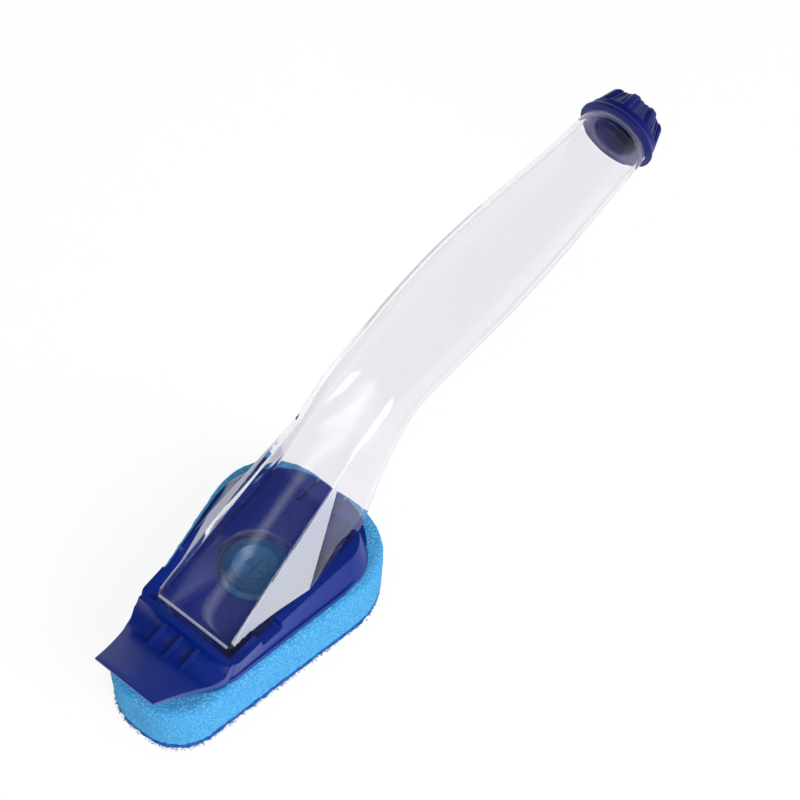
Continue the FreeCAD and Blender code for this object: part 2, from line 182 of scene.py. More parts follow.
# %% [markdown]
# ## Clear plastic
# The reservoir is clear styrene: hard, glossy and a touch lavender at its edges. Both faces of its thin wall
# are nearly parallel, so what lies behind is hardly bent, and the base has a low index of refraction. A clear
# coat with an index near the real one gives the gloss, with less of it on the inner skin, where the two
# reflections of a thin wall run together. Moulding leaves tiny differences of gloss and a faint waviness, so
# a soft noise moves the roughness and a very low bump bends the reflections. A faint tint greys the edges,
# where the eye looks through more of the wall. Lamps shine through it on the pieces inside.

# %% Clear styrene
def lets_lamps_through(made, tint):
    """Make a material see-through to the rays that look for lamps, with a faint shadow of this tint."""
    tree = made.node_tree
    path = add(tree, "ShaderNodeLightPath")
    veil = add(tree, "ShaderNodeBsdfTransparent", {"Color": linear(tint)})
    both = add(tree, "ShaderNodeMixShader", {0: path.outputs["Is Shadow Ray"],
                                             1: tree.nodes["Principled BSDF"].outputs[0], 2: veil.outputs[0]})
    tree.links.new(both.outputs[0], tree.nodes["Material Output"].inputs["Surface"])
    return made


def clear_styrene(name, gloss_share):
    made, tree, shader = material(name, "#f9f8fb", IOR=1.04, Transmission_Weight=1.0, Coat_Weight=gloss_share,
                                  Coat_IOR=1.55, Coat_Roughness=0.04)
    place = add(tree, "ShaderNodeTexCoord").outputs["Object"]
    gloss = add(tree, "ShaderNodeTexNoise", {"Vector": place, "Scale": per_metre(14), "Detail": 2.0})
    spread = add(tree, "ShaderNodeMapRange", {"Value": gloss.outputs["Fac"], "To Min": 0.01, "To Max": 0.05})
    wave = add(tree, "ShaderNodeTexNoise", {"Vector": place, "Scale": per_metre(22), "Detail": 1.0})
    edge = add(tree, "ShaderNodeLayerWeight", {"Blend": 0.2})
    share = add(tree, "ShaderNodeMapRange", {"Value": edge.outputs["Facing"], "From Min": 0.27,
                                             "From Max": 0.6})
    tinted(tree, shader, share.outputs["Result"], linear("#f9f8fb"), linear("#d2cfd8"))
    tree.links.new(spread.outputs["Result"], shader.inputs["Roughness"])
    bent = bumped(tree, shader, wave.outputs["Fac"], 0.12, 0.6)
    tree.links.new(bent, shader.inputs["Coat Normal"])
    return lets_lamps_through(made, "#fdfdfe")


CLEAR = clear_styrene("clear_styrene", 0.85)
INNER = clear_styrene("clear_styrene_inside", 0.15)
print("made", CLEAR.name, "and", INNER.name)

# %% [markdown]
# ## Frosted side facets
# The two side facets of the head carry a fine moulded hatch. It scatters light, so they look white where the
# rest is clear. The hatch lines are about 0.8 mm apart. A narrow strip along the panel's front edge gets the
# same white material as a painted highlight, for the light that the rounded edge catches.

# %% Frosted styrene
WAVE_PERIOD = 0.314  # width of one wave of the Wave texture at scale 1


def frosted_styrene_and_painted_highlight():
    made, tree, shader = material("frosted_styrene_and_painted_highlight", "#ffffff", IOR=1.5, Roughness=0.5,
                                  Transmission_Weight=0.52)
    place = add(tree, "ShaderNodeTexCoord").outputs["Object"]
    turned = add(tree, "ShaderNodeMapping", {"Vector": place, "Rotation": (0.0, math.radians(-60), 0.0)})
    hatch = add(tree, "ShaderNodeTexWave", {"Vector": turned.outputs["Vector"],
                                            "Scale": per_metre(0.8) * WAVE_PERIOD,
                                            "Distortion": 1.2, "Detail": 1.0, "Detail Scale": 2.0})
    tinted(tree, shader, hatch.outputs["Fac"], linear("#dce2f6"), linear("#ffffff"))
    bumped(tree, shader, hatch.outputs["Fac"], 0.6, 0.15)
    return lets_lamps_through(made, "#fdfdfe")


FROSTED_AND_PAINTED_HIGHLIGHT = frosted_styrene_and_painted_highlight()
print("made", FROSTED_AND_PAINTED_HIGHLIGHT.name)

# %% [markdown]
# ## Coloured mouldings
# The carrier and the cap are dyed polypropylene: a satin skin with a fine grain from the mould. The colour
# drifts a little where the melt flowed, and the grain breaks up the highlights.

# %% Dyed polypropylene
def dyed_polypropylene(name, colour, deep, roughness, shine):
    made, tree, shader = material(name, colour, IOR=1.49, Specular_IOR_Level=shine)
    place = add(tree, "ShaderNodeTexCoord").outputs["Object"]
    flow = add(tree, "ShaderNodeTexNoise", {"Vector": place, "Scale": per_metre(16), "Detail": 3.0})
    tinted(tree, shader, flow.outputs["Fac"], linear(deep), linear(colour))
    grain = add(tree, "ShaderNodeTexNoise", {"Vector": place, "Scale": per_metre(0.5), "Detail": 2.0})
    gloss = add(tree, "ShaderNodeMapRange", {"Value": grain.outputs["Fac"], "To Min": roughness - 0.06,
                                             "To Max": roughness + 0.06})
    tree.links.new(gloss.outputs["Result"], shader.inputs["Roughness"])
    bumped(tree, shader, grain.outputs["Fac"], 0.15, 0.06)
    return made


NAVY = dyed_polypropylene("navy_polypropylene", "#04288c", "#032074", 0.3, 0.4)
CAP_BLUE = dyed_polypropylene("blue_polypropylene", "#081a7c", "#041260", 0.4, 0.2)
print("made", NAVY.name, "and", CAP_BLUE.name)

# %% [markdown]
# ## Foam and scouring fleece
# The sponge is open-cell polyurethane foam. Its fine cells are drawn at 0.75 mm to show at this size: a cell
# pattern is light in the middle of each cell and darker towards its border, and dents the surface. The
# scouring layer is a fleece of coarse nylon fibre stuck together with resin, darker and rougher.

# %% Open-cell foam
def open_cell_foam():
    made, tree, shader = material("open_cell_foam", "#4fb0ec", Roughness=0.92, IOR=1.4)
    shader.inputs["Specular IOR Level"].default_value = 0.15
    shader.inputs["Subsurface Weight"].default_value = 0.2
    shader.inputs["Subsurface Radius"].default_value = (0.3, 0.6, 1.0)
    shader.inputs["Subsurface Scale"].default_value = 2.0 * MM
    place = add(tree, "ShaderNodeTexCoord").outputs["Object"]
    cells = add(tree, "ShaderNodeTexVoronoi", {"Vector": place, "Scale": per_metre(0.75)})
    cloud = add(tree, "ShaderNodeTexNoise", {"Vector": place, "Scale": per_metre(9), "Detail": 3.0})
    pores = ramped(tree, cells.outputs["Distance"], (0.1, "#a0d6f4"), (0.5, "#3494d4"))
    tinted(tree, shader, cloud.outputs["Fac"], pores, linear("#50a8e0"))
    bumped(tree, shader, cells.outputs["Distance"], 0.6, 0.4)
    return made


FOAM = open_cell_foam()
print("made", FOAM.name)

# %% Scouring fleece
def scouring_fleece():
    made, tree, shader = material("scouring_fleece", "#1d55aa", Roughness=0.85)
    shader.inputs["Specular IOR Level"].default_value = 0.25
    place = add(tree, "ShaderNodeTexCoord").outputs["Object"]
    tangle = add(tree, "ShaderNodeTexNoise", {"Vector": place, "Scale": per_metre(0.8), "Detail": 5.0,
                                              "Roughness": 0.7, "Distortion": 1.5})
    strands = ramped(tree, tangle.outputs["Fac"], (0.35, "#184896"), (0.65, "#3a84d8"))
    tree.links.new(strands, shader.inputs["Base Color"])
    bumped(tree, shader, tangle.outputs["Fac"], 0.9, 0.5)
    return made


FLEECE = scouring_fleece()
print("made", FLEECE.name)

# %% [markdown]
# ## Silicone
# The slit valve and the cap's liner are silicone rubber, soft, satin and half see-through. Their dim teal-blue
# colour is painted shade:
# through the clear head the valve shows as a dim blue disc that stands for the shaded foam under the soap
# hole.

# %% Silicone
# The dark teal-blue base colour is painted shade, matched to the shaded foam seen through the soap hole.
def silicone():
    made, tree, shader = material("silicone", "#2f74ae", Roughness=0.3, IOR=1.41)
    shader.inputs["Transmission Weight"].default_value = 0.4
    place = add(tree, "ShaderNodeTexCoord").outputs["Object"]
    skin = add(tree, "ShaderNodeTexNoise", {"Vector": place, "Scale": per_metre(1.5), "Detail": 2.0})
    bumped(tree, shader, skin.outputs["Fac"], 0.2, 0.1)
    return made


SILICONE_PAINTED_SHADE = silicone()
print("made", SILICONE_PAINTED_SHADE.name)

# %% [markdown]
# ## The clear handle
# The handle is one hollow moulding, so it is built the way a loft is built by hand: an outline is laid at
# each station along the body, and neighbouring outlines are bridged. An outline is an eight-cornered circle
# whose corners are set to the station and bevelled round: the top edge, the edge of the skirt, the wall under
# the skirt, and the foot, on both sides. Subdivision then makes the skin smooth. A second skin, set in by
# the wall, is the hollow.
# The stations follow the solid: the head's upright front, the skirt that leans out over the carrier's rails,
# the finger arch, the waist, and the grip up to the round end and the filler neck.

# %% Stations of the handle
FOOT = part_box("handle_reservoir")[0].z / MM
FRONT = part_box("handle_reservoir")[0].x / MM
RAMP_TILT = math.radians(25.0)
PANEL_END = 40.0
PANEL_WIDTHS = (27.8, 20.4)
HEAD_BACK = 35.0
FOOT_WIDTHS = (29.6, 33.8)
FRONT_HEIGHT = 6.5
PANEL_EDGE = 1.6  # radius of the panel's long edges and of the front's rounding
FOOT_EDGE = 0.4
WALL = 1.4
ARCH_CENTRE = Vector((77.5, 0.0, 1.88))
ARCH_RADIUS = 49.7
ARCH_END = math.radians(76.0)
ARCH_STATIONS = 5
WAIST_REACH = 60.5
WAIST_WIDTH = 26.0
WAIST_EDGE = 7.5
BELLY = 9.0
BELLY_LEVEL = 33.9
BELLY_REACH = 34.0
FRONT_TURNS = (0, 25, 55, 90)
GRIP = (  # x, z, tilt in degrees, width, thickness, and roundness of the corners
    (63.0, 60.0, 14.0, 26.0, 20.4, 0.74),
    (76.0, 61.7, 6.0, 27.6, 20.7, 0.77),
    (90.0, 62.3, 1.5, 29.2, 21.0, 0.8),
    (110.0, 62.0, -2.0, 30.4, 21.6, 0.82),
    (131.0, 60.9, -3.0, 29.0, 22.4, 0.86),
    (152.0, 60.0, -1.0, 26.6, 23.2, 0.9),
    (167.0, 59.7, 3.0, 25.2, 24.0, 0.95),
)
NECK_END = Vector((180.0, 0.0, 60.4))
NECK_TILT = math.radians(9.0)
NECK_RADIUS = 7.6
NECK_BORE = 11.6
NECK_LENGTH = 9.0


def between(start, end, share):
    return start + (end - start) * share


def on_ramp(x, inset=0.0):
    """Point of the sloping top panel above x, or of its inner face, in millimetres."""
    rise = FRONT_HEIGHT + (x - FRONT) * math.tan(RAMP_TILT)
    return Vector((x, 0.0, FOOT + rise - inset / math.cos(RAMP_TILT)))


def aside(point, half):
    """A point moved out to one side."""
    return Vector((point.x, half, point.z))


def head_station(reach, place, edge_half, edge_level, wall_half, inset, tuck):
    """Top edge, skirt edge, wall under the skirt, and foot, each with its corner radius."""
    top_half = between(*PANEL_WIDTHS, (reach - FRONT) / (PANEL_END - FRONT)) / 2 - inset
    foot_half = between(*FOOT_WIDTHS, (place - FRONT) / (HEAD_BACK - FRONT)) / 2 - inset
    return [
        (aside(on_ramp(reach, inset), top_half), max(PANEL_EDGE - inset, 0.5)),
        (Vector((place, edge_half - tuck * inset, edge_level + inset)), 0.5),
        (Vector((place, wall_half - inset, edge_level + inset - 0.5)), 0.2),
        (Vector((place, foot_half, FOOT)), FOOT_EDGE),
    ]


def side_station(top, foot, top_half, foot_half, top_radius, foot_radius, upper, lower, step):
    """A station with straight sides, on which the two middle corners lie at these shares of the way up."""
    high, low = aside(top, top_half), aside(foot, foot_half)
    return [
        (high, top_radius),
        (low.lerp(high, upper), step),
        (low.lerp(high, lower), step),
        (low, foot_radius),
    ]


def arch_station(share, inset):
    """Outline between the head's back, 0, and the waist, 1, with its foot on the finger arch."""
    reach = ARCH_RADIUS + inset
    angle = between(math.asin((FOOT - ARCH_CENTRE.z) / reach), ARCH_END, share)
    foot = ARCH_CENTRE + Vector((-math.cos(angle), 0.0, math.sin(angle))) * reach
    return side_station(
        on_ramp(between(PANEL_END, WAIST_REACH, share), inset), foot,
        between(PANEL_WIDTHS[1], WAIST_WIDTH, share) / 2 - inset,
        between(FOOT_WIDTHS[1], WAIST_WIDTH, share) / 2 - inset,
        max(between(PANEL_EDGE, WAIST_EDGE, share) - inset, 0.5),
        max(between(FOOT_EDGE, WAIST_EDGE, share) - inset, FOOT_EDGE),
        between(0.22, 0.54, share), between(0.16, 0.46, share), 0.3)


def grip_station(x, z, tilt, width, thickness, roundness, inset):
    """Outline across the grip, square to its centreline."""
    half = thickness / 2 - inset
    up = Vector((-math.sin(tilt), 0.0, math.cos(tilt))) * half
    radius = (min(width, thickness) / 2 - inset) * roundness
    straight = (half - radius) / half
    centre = Vector((x, 0.0, z))
    return side_station(centre + up, centre - up, width / 2 - inset, width / 2 - inset, radius, radius,
                        0.5 + straight * 0.2, 0.5 - straight * 0.2, straight * half * 0.12)


def front_station(turn, inset):
    """Outline of the front's rounding, from its flat wall at 0 degrees to the sides' start at 90 degrees."""
    rounding = max(PANEL_EDGE - inset, 0.6)
    x = FRONT + inset + rounding * (1 - math.cos(math.radians(turn)))
    pinch = inset + rounding * (1 - math.sin(math.radians(turn)))
    return side_station(on_ramp(x, pinch), Vector((x, 0.0, FOOT)), PANEL_WIDTHS[0] / 2 - pinch,
                        FOOT_WIDTHS[0] / 2 - pinch, max(2.0 - pinch, 0.4), FOOT_EDGE, 0.55, 0.4, 0.2)


def handle_stations(inset, ends):
    """Every outline from the front of the head to the rim of the filler neck."""
    stations = [front_station(turn, inset) for turn in FRONT_TURNS] + [
        head_station(-15.0, -9.0, 14.1, BELLY_LEVEL, 14.3, inset, 1),
        head_station(BELLY_REACH, BELLY, 19.2, BELLY_LEVEL, 14.8, inset, 2),
        head_station(37.0, 20.0, 18.4, 32.0, 15.4, inset, 2),
    ]
    stations += [arch_station(index / ARCH_STATIONS, inset) for index in range(ARCH_STATIONS)]
    for x, z, tilt, width, thickness, roundness in GRIP:
        stations.append(grip_station(x, z, math.radians(tilt), width, thickness, roundness, inset))
    along = Vector((math.cos(NECK_TILT), 0.0, math.sin(NECK_TILT)))
    for step, size in ends:
        centre = NECK_END + along * step
        stations.append(grip_station(centre.x, centre.z, NECK_TILT, size, size, 0.98, 0.0))
    return stations


OUTSIDE = handle_stations(0.0, ((0.0, 24.4), (1.0, 22.4), (1.0, 2 * NECK_RADIUS),
                                (NECK_LENGTH, 2 * NECK_RADIUS)))
HOLLOW = handle_stations(WALL, ((-2.0, 21.8), (-1.4, 20.6), (-1.4, NECK_BORE), (NECK_LENGTH, NECK_BORE)))
LAST = len(OUTSIDE) - 1
print("handle stations:", len(OUTSIDE), "outside and", len(HOLLOW), "inside")

# %% Bridge the outlines into one skin
CORNER_SEGMENTS = (4, 2, 2, 4)


def outline(station):
    """An eight-cornered circle set to one station, its corners bevelled, left as a bare loop."""
    bpy.ops.mesh.primitive_circle_add(vertices=8, radius=MM, fill_type="NGON")
    loop = bpy.context.active_object
    right = [point * MM for point, radius in station]
    left = [Vector((point.x, -point.y, point.z)) for point in reversed(right)]
    for vertex, place in zip(loop.data.vertices, right + left):
        vertex.co = place
    edit(loop)
    for corner, (point, radius), segments in zip(right, station, CORNER_SEGMENTS):
        pick(loop, lambda v: (Vector((v.co.x, abs(v.co.y), v.co.z)) - corner).length < 0.001 * MM)
        bpy.ops.mesh.bevel(offset=radius * MM, segments=segments, affect="VERTICES")
    bpy.ops.mesh.select_all(action="SELECT")
    bpy.ops.mesh.delete(type="ONLY_FACE")
    done()
    return loop


def lofted(stations, name):
    """Join the outlines of all stations and bridge each to the next."""
    loops = [outline(station) for station in stations]
    corners = len(loops[0].data.vertices)
    bpy.ops.object.select_all(action="DESELECT")
    for loop in loops:
        loop.select_set(True)
    bpy.context.view_layer.objects.active = loops[0]
    bpy.ops.object.join()
    skin = named(name)
    ring = skin.data.attributes.new("ring", "INT", "POINT")
    ring.data.foreach_set("value", [index // corners for index in range(len(skin.data.vertices))])
    edit(skin)
    for index in range(len(stations) - 1):
        layer = bmesh.from_edit_mesh(skin.data).verts.layers.int["ring"]
        pick(skin, lambda v: v[layer] in (index, index + 1))
        bpy.ops.mesh.bridge_edge_loops()
    done()
    return skin


handle = lofted(OUTSIDE, "handle_shell")
hollow = lofted(HOLLOW, "handle_hollow")
print("cages:", faces_of(handle), "and", faces_of(hollow), "faces")

# %% [markdown]
# The head's front is a flat wall with softened edges, and its foot is open, because the floor plate is a
# piece of its own. The skirt folds where it leans out most, and the filler neck has crisp steps. Edge creases
# keep them through the subdivision.

# %% Front wall, open foot and crisp folds
FOLDS = (  # station and crease: front wall, skirt, end of the grip, and the steps and rim of the neck
    (0, 1.0),
    (len(FRONT_TURNS) + 1, 0.8),
    (LAST - 3, 0.6),
    (LAST - 2, 1.0),
    (LAST - 1, 1.0),
    (LAST, 1.0),
)


def ring_of(piece, index):
    """In edit mode, select one station's outline."""
    layer = bmesh.from_edit_mesh(piece.data).verts.layers.int["ring"]
    pick(piece, lambda v: v[layer] == index)


def moulded(skin, inwards):
    """Close the front, open the foot, subdivide, and turn the faces outwards or towards the hollow."""
    edit(skin)
    for index, crease in FOLDS:
        ring_of(skin, index)
        bpy.ops.transform.edge_crease(value=crease)
    ring_of(skin, 0)
    bpy.ops.mesh.edge_face_add()
    bpy.ops.mesh.select_mode(type="FACE")
    bpy.ops.mesh.select_all(action="DESELECT")
    mesh = bmesh.from_edit_mesh(skin.data)
    for face in mesh.faces:
        face.select_set(all(v.co.z < (FOOT + 0.05) * MM for v in face.verts))
    bmesh.update_edit_mesh(skin.data)
    bpy.ops.mesh.delete(type="FACE")
    bpy.ops.mesh.select_all(action="SELECT")
    bpy.ops.mesh.normals_make_consistent(inside=False)
    done()
    highest = max(skin.data.polygons, key=lambda face: face.center.z)
    if (highest.normal.z < 0) != inwards:
        edit(skin)
        bpy.ops.mesh.select_all(action="SELECT")
        bpy.ops.mesh.flip_normals()
        done()
    apply(skin, "SUBSURF", levels=2, render_levels=2, boundary_smooth="PRESERVE_CORNERS")
    print(skin.name, "subdivided:", faces_of(skin), "faces")


moulded(handle, inwards=False)
moulded(hollow, inwards=True)

# %% [markdown]
# The sloping panel is crowned by a fraction of a millimetre across, as moulded panels are so that they don't
# sink. That draws a lamp out into one long streak. Then the hollow is joined on, and both skins are bridged
# round the open foot and at the rim of the neck.

# %% Crown the panel and join the hollow
PANEL_CROWN = 0.5
for vertex in handle.data.vertices:
    x, y, z = (value / MM for value in vertex.co)
    half = between(*PANEL_WIDTHS, (x - FRONT) / (PANEL_END - FRONT)) / 2
    if x < PANEL_END and abs(y) < half and abs(z - on_ramp(x).z) < 0.4:
        fade = min(1.0, (x - FRONT) / 4.0) * min(1.0, (PANEL_END - x) / 12.0)
        vertex.co.z += PANEL_CROWN * MM * fade * (1 - (y / half) ** 2)
hollow.data.materials.append(INNER)
handle.data.materials.append(CLEAR)
handle.data.materials.append(FROSTED_AND_PAINTED_HIGHLIGHT)
frosted = 0
for face in handle.data.polygons:
    x, y, z = (value / MM for value in face.center)
    fold = BELLY + (z - BELLY_LEVEL) * (BELLY_REACH - BELLY) / (on_ramp(BELLY_REACH).z - BELLY_LEVEL)
    outward = face.normal.y * y > 0 and abs(face.normal.y) > 0.6
    facet = outward and FRONT + 2.0 < x < fold and z > BELLY_LEVEL - 0.5
    # The front edge strip is a painted highlight: its white frosted faces stand for the light caught by the
    # rounded front edge. The count of frosted faces includes it.
    front_edge_painted_highlight = FRONT + 0.2 < x < FRONT + 0.7 and face.normal.z > 0.3 and abs(y) < PANEL_WIDTHS[0] / 2 - 1.2
    if facet or front_edge_painted_highlight:
        face.material_index = 1
        frosted += 1
only(handle)
hollow.select_set(True)
bpy.ops.object.join()
edit(handle)
for near_foot in (True, False):
    bpy.ops.mesh.select_all(action="DESELECT")
    mesh = bmesh.from_edit_mesh(handle.data)
    for edge in mesh.edges:
        if edge.is_boundary and (edge.verts[0].co.x < HEAD_BACK * 2 * MM) == near_foot:
            edge.select_set(True)
    bmesh.update_edit_mesh(handle.data)
    bpy.ops.mesh.select_mode(type="EDGE")
    bpy.ops.mesh.bridge_edge_loops()
done()
only(handle)
bpy.ops.object.shade_smooth_by_angle(angle=math.radians(40))
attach(handle, "handle")
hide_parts("handle_reservoir")
print("handle:", faces_of(handle), "faces,", frosted, "of them frosted")

# %% [markdown]
# ## The thread of the filler neck
# The cap screws on a shallow thread of 3 mm pitch. One small profile is swept by the Screw modifier round the
# neck's axis. It starts as a plane, tapered to a low ridge.

# %% Thread ridge
THREAD_TURNS = 1.6
THREAD_PITCH = 3.0


def thread_ridge():
    bpy.ops.mesh.primitive_plane_add(size=1.0 * MM)
    ridge = named("neck_thread")
    edit(ridge)
    bpy.ops.mesh.select_all(action="SELECT")
    bpy.ops.transform.rotate(value=math.radians(90), orient_axis="X", center_override=(0.0, 0.0, 0.0))
    pick(ridge, lambda v: v.co.x > 0)
    bpy.ops.transform.resize(value=(1.0, 1.0, 0.25), center_override=(0.0, 0.0, 0.0))
    bpy.ops.mesh.select_all(action="SELECT")
    bpy.ops.transform.resize(value=(0.4, 1.0, 1.2), center_override=(0.0, 0.0, 0.0))
    bpy.ops.transform.translate(value=((NECK_RADIUS + 0.1) * MM, 0.0, 2.6 * MM))
    bpy.ops.mesh.delete(type="ONLY_FACE")
    done()
    apply(ridge, "SCREW", angle=math.radians(360 * THREAD_TURNS),
          screw_offset=THREAD_PITCH * THREAD_TURNS * MM, steps=64, render_steps=64, use_normal_calculate=True)
    turn = Matrix.Rotation(math.radians(90) - NECK_TILT, 4, "Y")
    ridge.data.transform(Matrix.Translation(NECK_END * MM) @ turn)
    edit(ridge)
    bpy.ops.mesh.select_all(action="SELECT")
    bpy.ops.mesh.normals_make_consistent(inside=False)
    done()
    return ridge


thread = thread_ridge()
thread.data.materials.append(CLEAR)
only(thread)
bpy.ops.object.shade_smooth_by_angle(angle=math.radians(30))
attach(thread, "handle")
print("thread:", faces_of(thread), "faces")

# %% [markdown]
# ## The carrier and the cap
# Both are injection mouldings with many flat faces. A copy of the solid's mesh is merged, its flat faces are
# joined up, and every edge gets the small radius that a mould leaves. Light then runs along the edges.

# %% Softened mouldings
def moulding(node, name, radius, paint, body):
    """A copy of a solid with rounded edges, which stands for that solid."""
    piece = bpy.data.objects.new(name, nodes[node].data.copy())
    bpy.context.scene.collection.objects.link(piece)
    piece.data.materials.clear()
    edit(piece)
    bpy.ops.mesh.customdata_custom_splitnormals_clear()
    bpy.ops.mesh.select_all(action="SELECT")
    bpy.ops.mesh.remove_doubles(threshold=0.004 * MM)
    bpy.ops.mesh.dissolve_limited(angle_limit=math.radians(0.5))
    bpy.ops.mesh.normals_make_consistent(inside=False)
    done()
    apply(piece, "BEVEL", width=radius * MM, segments=2, limit_method="ANGLE",
          angle_limit=math.radians(28), use_clamp_overlap=True)
    piece.data.materials.append(paint)
    only(piece)
    bpy.ops.object.shade_smooth_by_angle(angle=math.radians(30))
    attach(piece, body)
    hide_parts(node)
    print(name + ":", faces_of(piece), "faces")


moulding("sponge_base", "carrier", 0.35, NAVY, "base")
moulding("filler_cap", "screw_cap", 0.3, CAP_BLUE, "cap")

# %% [markdown]
# ## The sponge
# The foam is die-cut from a sheet, so its outline is a plane with rounded corners that is raised to the
# foam's height. Remeshing gives it an even skin, and two layers of fine noise make the cut surface uneven.

# %% Foam block
SPONGE_FRONT_WIDTH = 30.5
SPONGE_BACK_WIDTH = 64.7
FRONT_REACH = 12.4  # how far a corner of radius 15 reaches along the sides
BACK_REACH = 24.5  # the same for the back corners of radius 20.3


def die_cut(node, name, inset):
    """The sponge's outline, rounded at its corners and raised from the bottom to the top of a solid."""
    low, high = (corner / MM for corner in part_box(node))
    bpy.ops.mesh.primitive_plane_add(size=2 * MM)
    piece = named(name)
    for vertex in piece.data.vertices:
        ahead = vertex.co.x < 0
        half = (SPONGE_FRONT_WIDTH if ahead else SPONGE_BACK_WIDTH) / 2 - inset
        side = math.copysign(half, vertex.co.y)
        vertex.co = Vector((low.x + inset if ahead else high.x - inset, side, low.z + inset)) * MM
    edit(piece)
    for ahead, reach in ((True, FRONT_REACH), (False, BACK_REACH)):
        edge = (low.x if ahead else high.x) * MM
        pick(piece, lambda v: abs(v.co.x - edge) < 1.0 * MM)
        bpy.ops.mesh.bevel(offset=(reach - inset) * MM, segments=14, affect="VERTICES")
    bpy.ops.mesh.select_all(action="SELECT")
    height = (high.z - low.z - 2 * inset) * MM
    bpy.ops.mesh.extrude_region_move(TRANSFORM_OT_translate={"value": (0.0, 0.0, height)})
    bpy.ops.mesh.select_all(action="SELECT")
    bpy.ops.mesh.normals_make_consistent(inside=False)
    done()
    return piece


def roughened(piece, voxel, *layers):
    """An even skin of small faces, moved in and out by layers of (grain size, depth) noise in millimetres."""
    apply(piece, "REMESH", mode="VOXEL", voxel_size=voxel * MM)
    for grain, depth in layers:
        noise = bpy.data.textures.new(piece.name + "_grain", "CLOUDS")
        noise.noise_scale = grain * MM
        apply(piece, "DISPLACE", texture=noise, strength=depth * MM, mid_level=0.5)
    only(piece)
    bpy.ops.object.shade_smooth()


foam = die_cut("sponge_foam", "foam_block", 0.25)
edit(foam)
top = max(v.co.z for v in foam.data.vertices)
pick(foam, lambda v: v.co.z > top - 0.01 * MM)
bpy.ops.mesh.bevel(offset=2.4 * MM, segments=5, affect="EDGES")
done()
roughened(foam, 0.9, (6.0, 0.2), (1.4, 0.45))
foam.data.materials.append(FOAM)
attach(foam, "base")
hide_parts("sponge_foam")
print("foam:", faces_of(foam), "faces, in mm:", [round(v / MM, 1) for v in foam.dimensions])

# %% [markdown]
# The scouring layer is bonded under the foam and cut with it. It is coarser, and its cut edge is fuzzy, so
# short curved fibres stand out of it all round. One fibre is modelled and copied, each copy turned and placed
# from a fixed random seed. The first one is then shrunk and hidden inside the layer.

# %% Scouring layer
fleece = die_cut("scourer_pad", "scouring_layer", 0.35)
roughened(fleece, 0.8, (2.5, 0.7), (1.0, 0.6))
for vertex in fleece.data.vertices:
    vertex.co.z = max(vertex.co.z, 0.0)
fleece.data.materials.append(FLEECE)
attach(fleece, "base")
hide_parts("scourer_pad")
print("scouring layer:", faces_of(fleece), "faces")

# %% Loose fibres on the cut edge
FIBRES = 1100
FIBRE_RADIUS = 0.09
rng = random.Random(7)


def one_fibre():
    """A thin bent rod along +X from the origin, 1 mm long before it is scaled."""
    bpy.ops.mesh.primitive_cylinder_add(vertices=4, radius=FIBRE_RADIUS * MM, depth=1.0 * MM,
                                        end_fill_type="NGON", rotation=(0.0, math.radians(90), 0.0))
    fibre = named("scouring_fibres")
    bpy.ops.object.transform_apply(location=False, rotation=True, scale=False)
    edit(fibre)
    bpy.ops.mesh.select_all(action="SELECT")
    bpy.ops.transform.translate(value=(0.5 * MM, 0.0, 0.0))
    for cut in (0.33, 0.66):
        bpy.ops.mesh.select_all(action="SELECT")
        bpy.ops.mesh.bisect(plane_co=(cut * MM, 0.0, 0.0), plane_no=(1.0, 0.0, 0.0))
    pick(fibre, lambda v: 0.2 * MM < v.co.x < 0.8 * MM)
    bpy.ops.transform.translate(value=(0.0, 0.0, 0.16 * MM))
    done()
    return fibre


def rim_points(node, count):
    """Points on a solid's cut edge with the direction out of it, from the walls of its mesh."""
    mesh = nodes[node].data
    walls = [face for face in mesh.polygons if abs(face.normal.z) < 0.3]
    areas = [face.area for face in walls]
    for face in rng.choices(walls, weights=areas, k=count):
        corners = [mesh.vertices[index].co for index in face.vertices[:3]]
        a, b = rng.random(), rng.random()
        if a + b > 1:
            a, b = 1 - a, 1 - b
        yield corners[0] + (corners[1] - corners[0]) * a + (corners[2] - corners[0]) * b, face.normal


first = one_fibre()
fibres = [first]
for point, out in rim_points("scourer_pad", FIBRES):
    copy = bpy.data.objects.new("fibre", first.data.copy())
    bpy.context.scene.collection.objects.link(copy)
    lean = Vector([rng.uniform(-1.0, 1.0) for _ in range(3)])
    along = (out * rng.uniform(0.1, 0.6) + lean).normalized()
    turn = along.to_track_quat("X", "Z").to_matrix().to_4x4()
    roll = Matrix.Rotation(rng.uniform(0.0, math.tau), 4, "X")
    length = rng.uniform(0.4, 0.8)
    inside = point - out * 0.3 * MM
    stretch = Matrix.Diagonal((length, 1.0, length, 1.0))
    copy.data.transform(Matrix.Translation(inside) @ turn @ roll @ stretch)
    fibres.append(copy)
for vertex in first.data.vertices:
    vertex.co *= 0.2
    vertex.co.z += 1.4 * MM
bpy.ops.object.select_all(action="DESELECT")
for fibre in fibres:
    fibre.select_set(True)
bpy.context.view_layer.objects.active = first
bpy.ops.object.join()
for vertex in first.data.vertices:
    vertex.co.z = max(vertex.co.z, 0.0)
first.data.materials.append(FLEECE)
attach(first, "base")
print("fibres:", faces_of(first), "faces")

# %% [markdown]
# ## Materials on the inner pieces
# The floor plate, the valve with its ring and the cap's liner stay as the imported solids. They only get their
# material.

# %% Paint the solids that stay
for node, paint in (("head_floor", CLEAR), ("valve_retainer", CLEAR), ("outlet_valve", SILICONE_PAINTED_SHADE),
                    ("cap_liner", SILICONE_PAINTED_SHADE)):
    nodes[node].data.materials.clear()
    nodes[node].data.materials.append(paint)
    print(node, "is", paint.name)

# %% [markdown]
# ## Studio
# The wand stands on a white sweep under soft light. The floor is white to the camera, to reflections and
# through the clear plastic, and still takes a faint shadow. A large soft lamp on the right lights the sponge,
# the world fills in, and two narrow strips overhead draw the streak on the sloping panel.

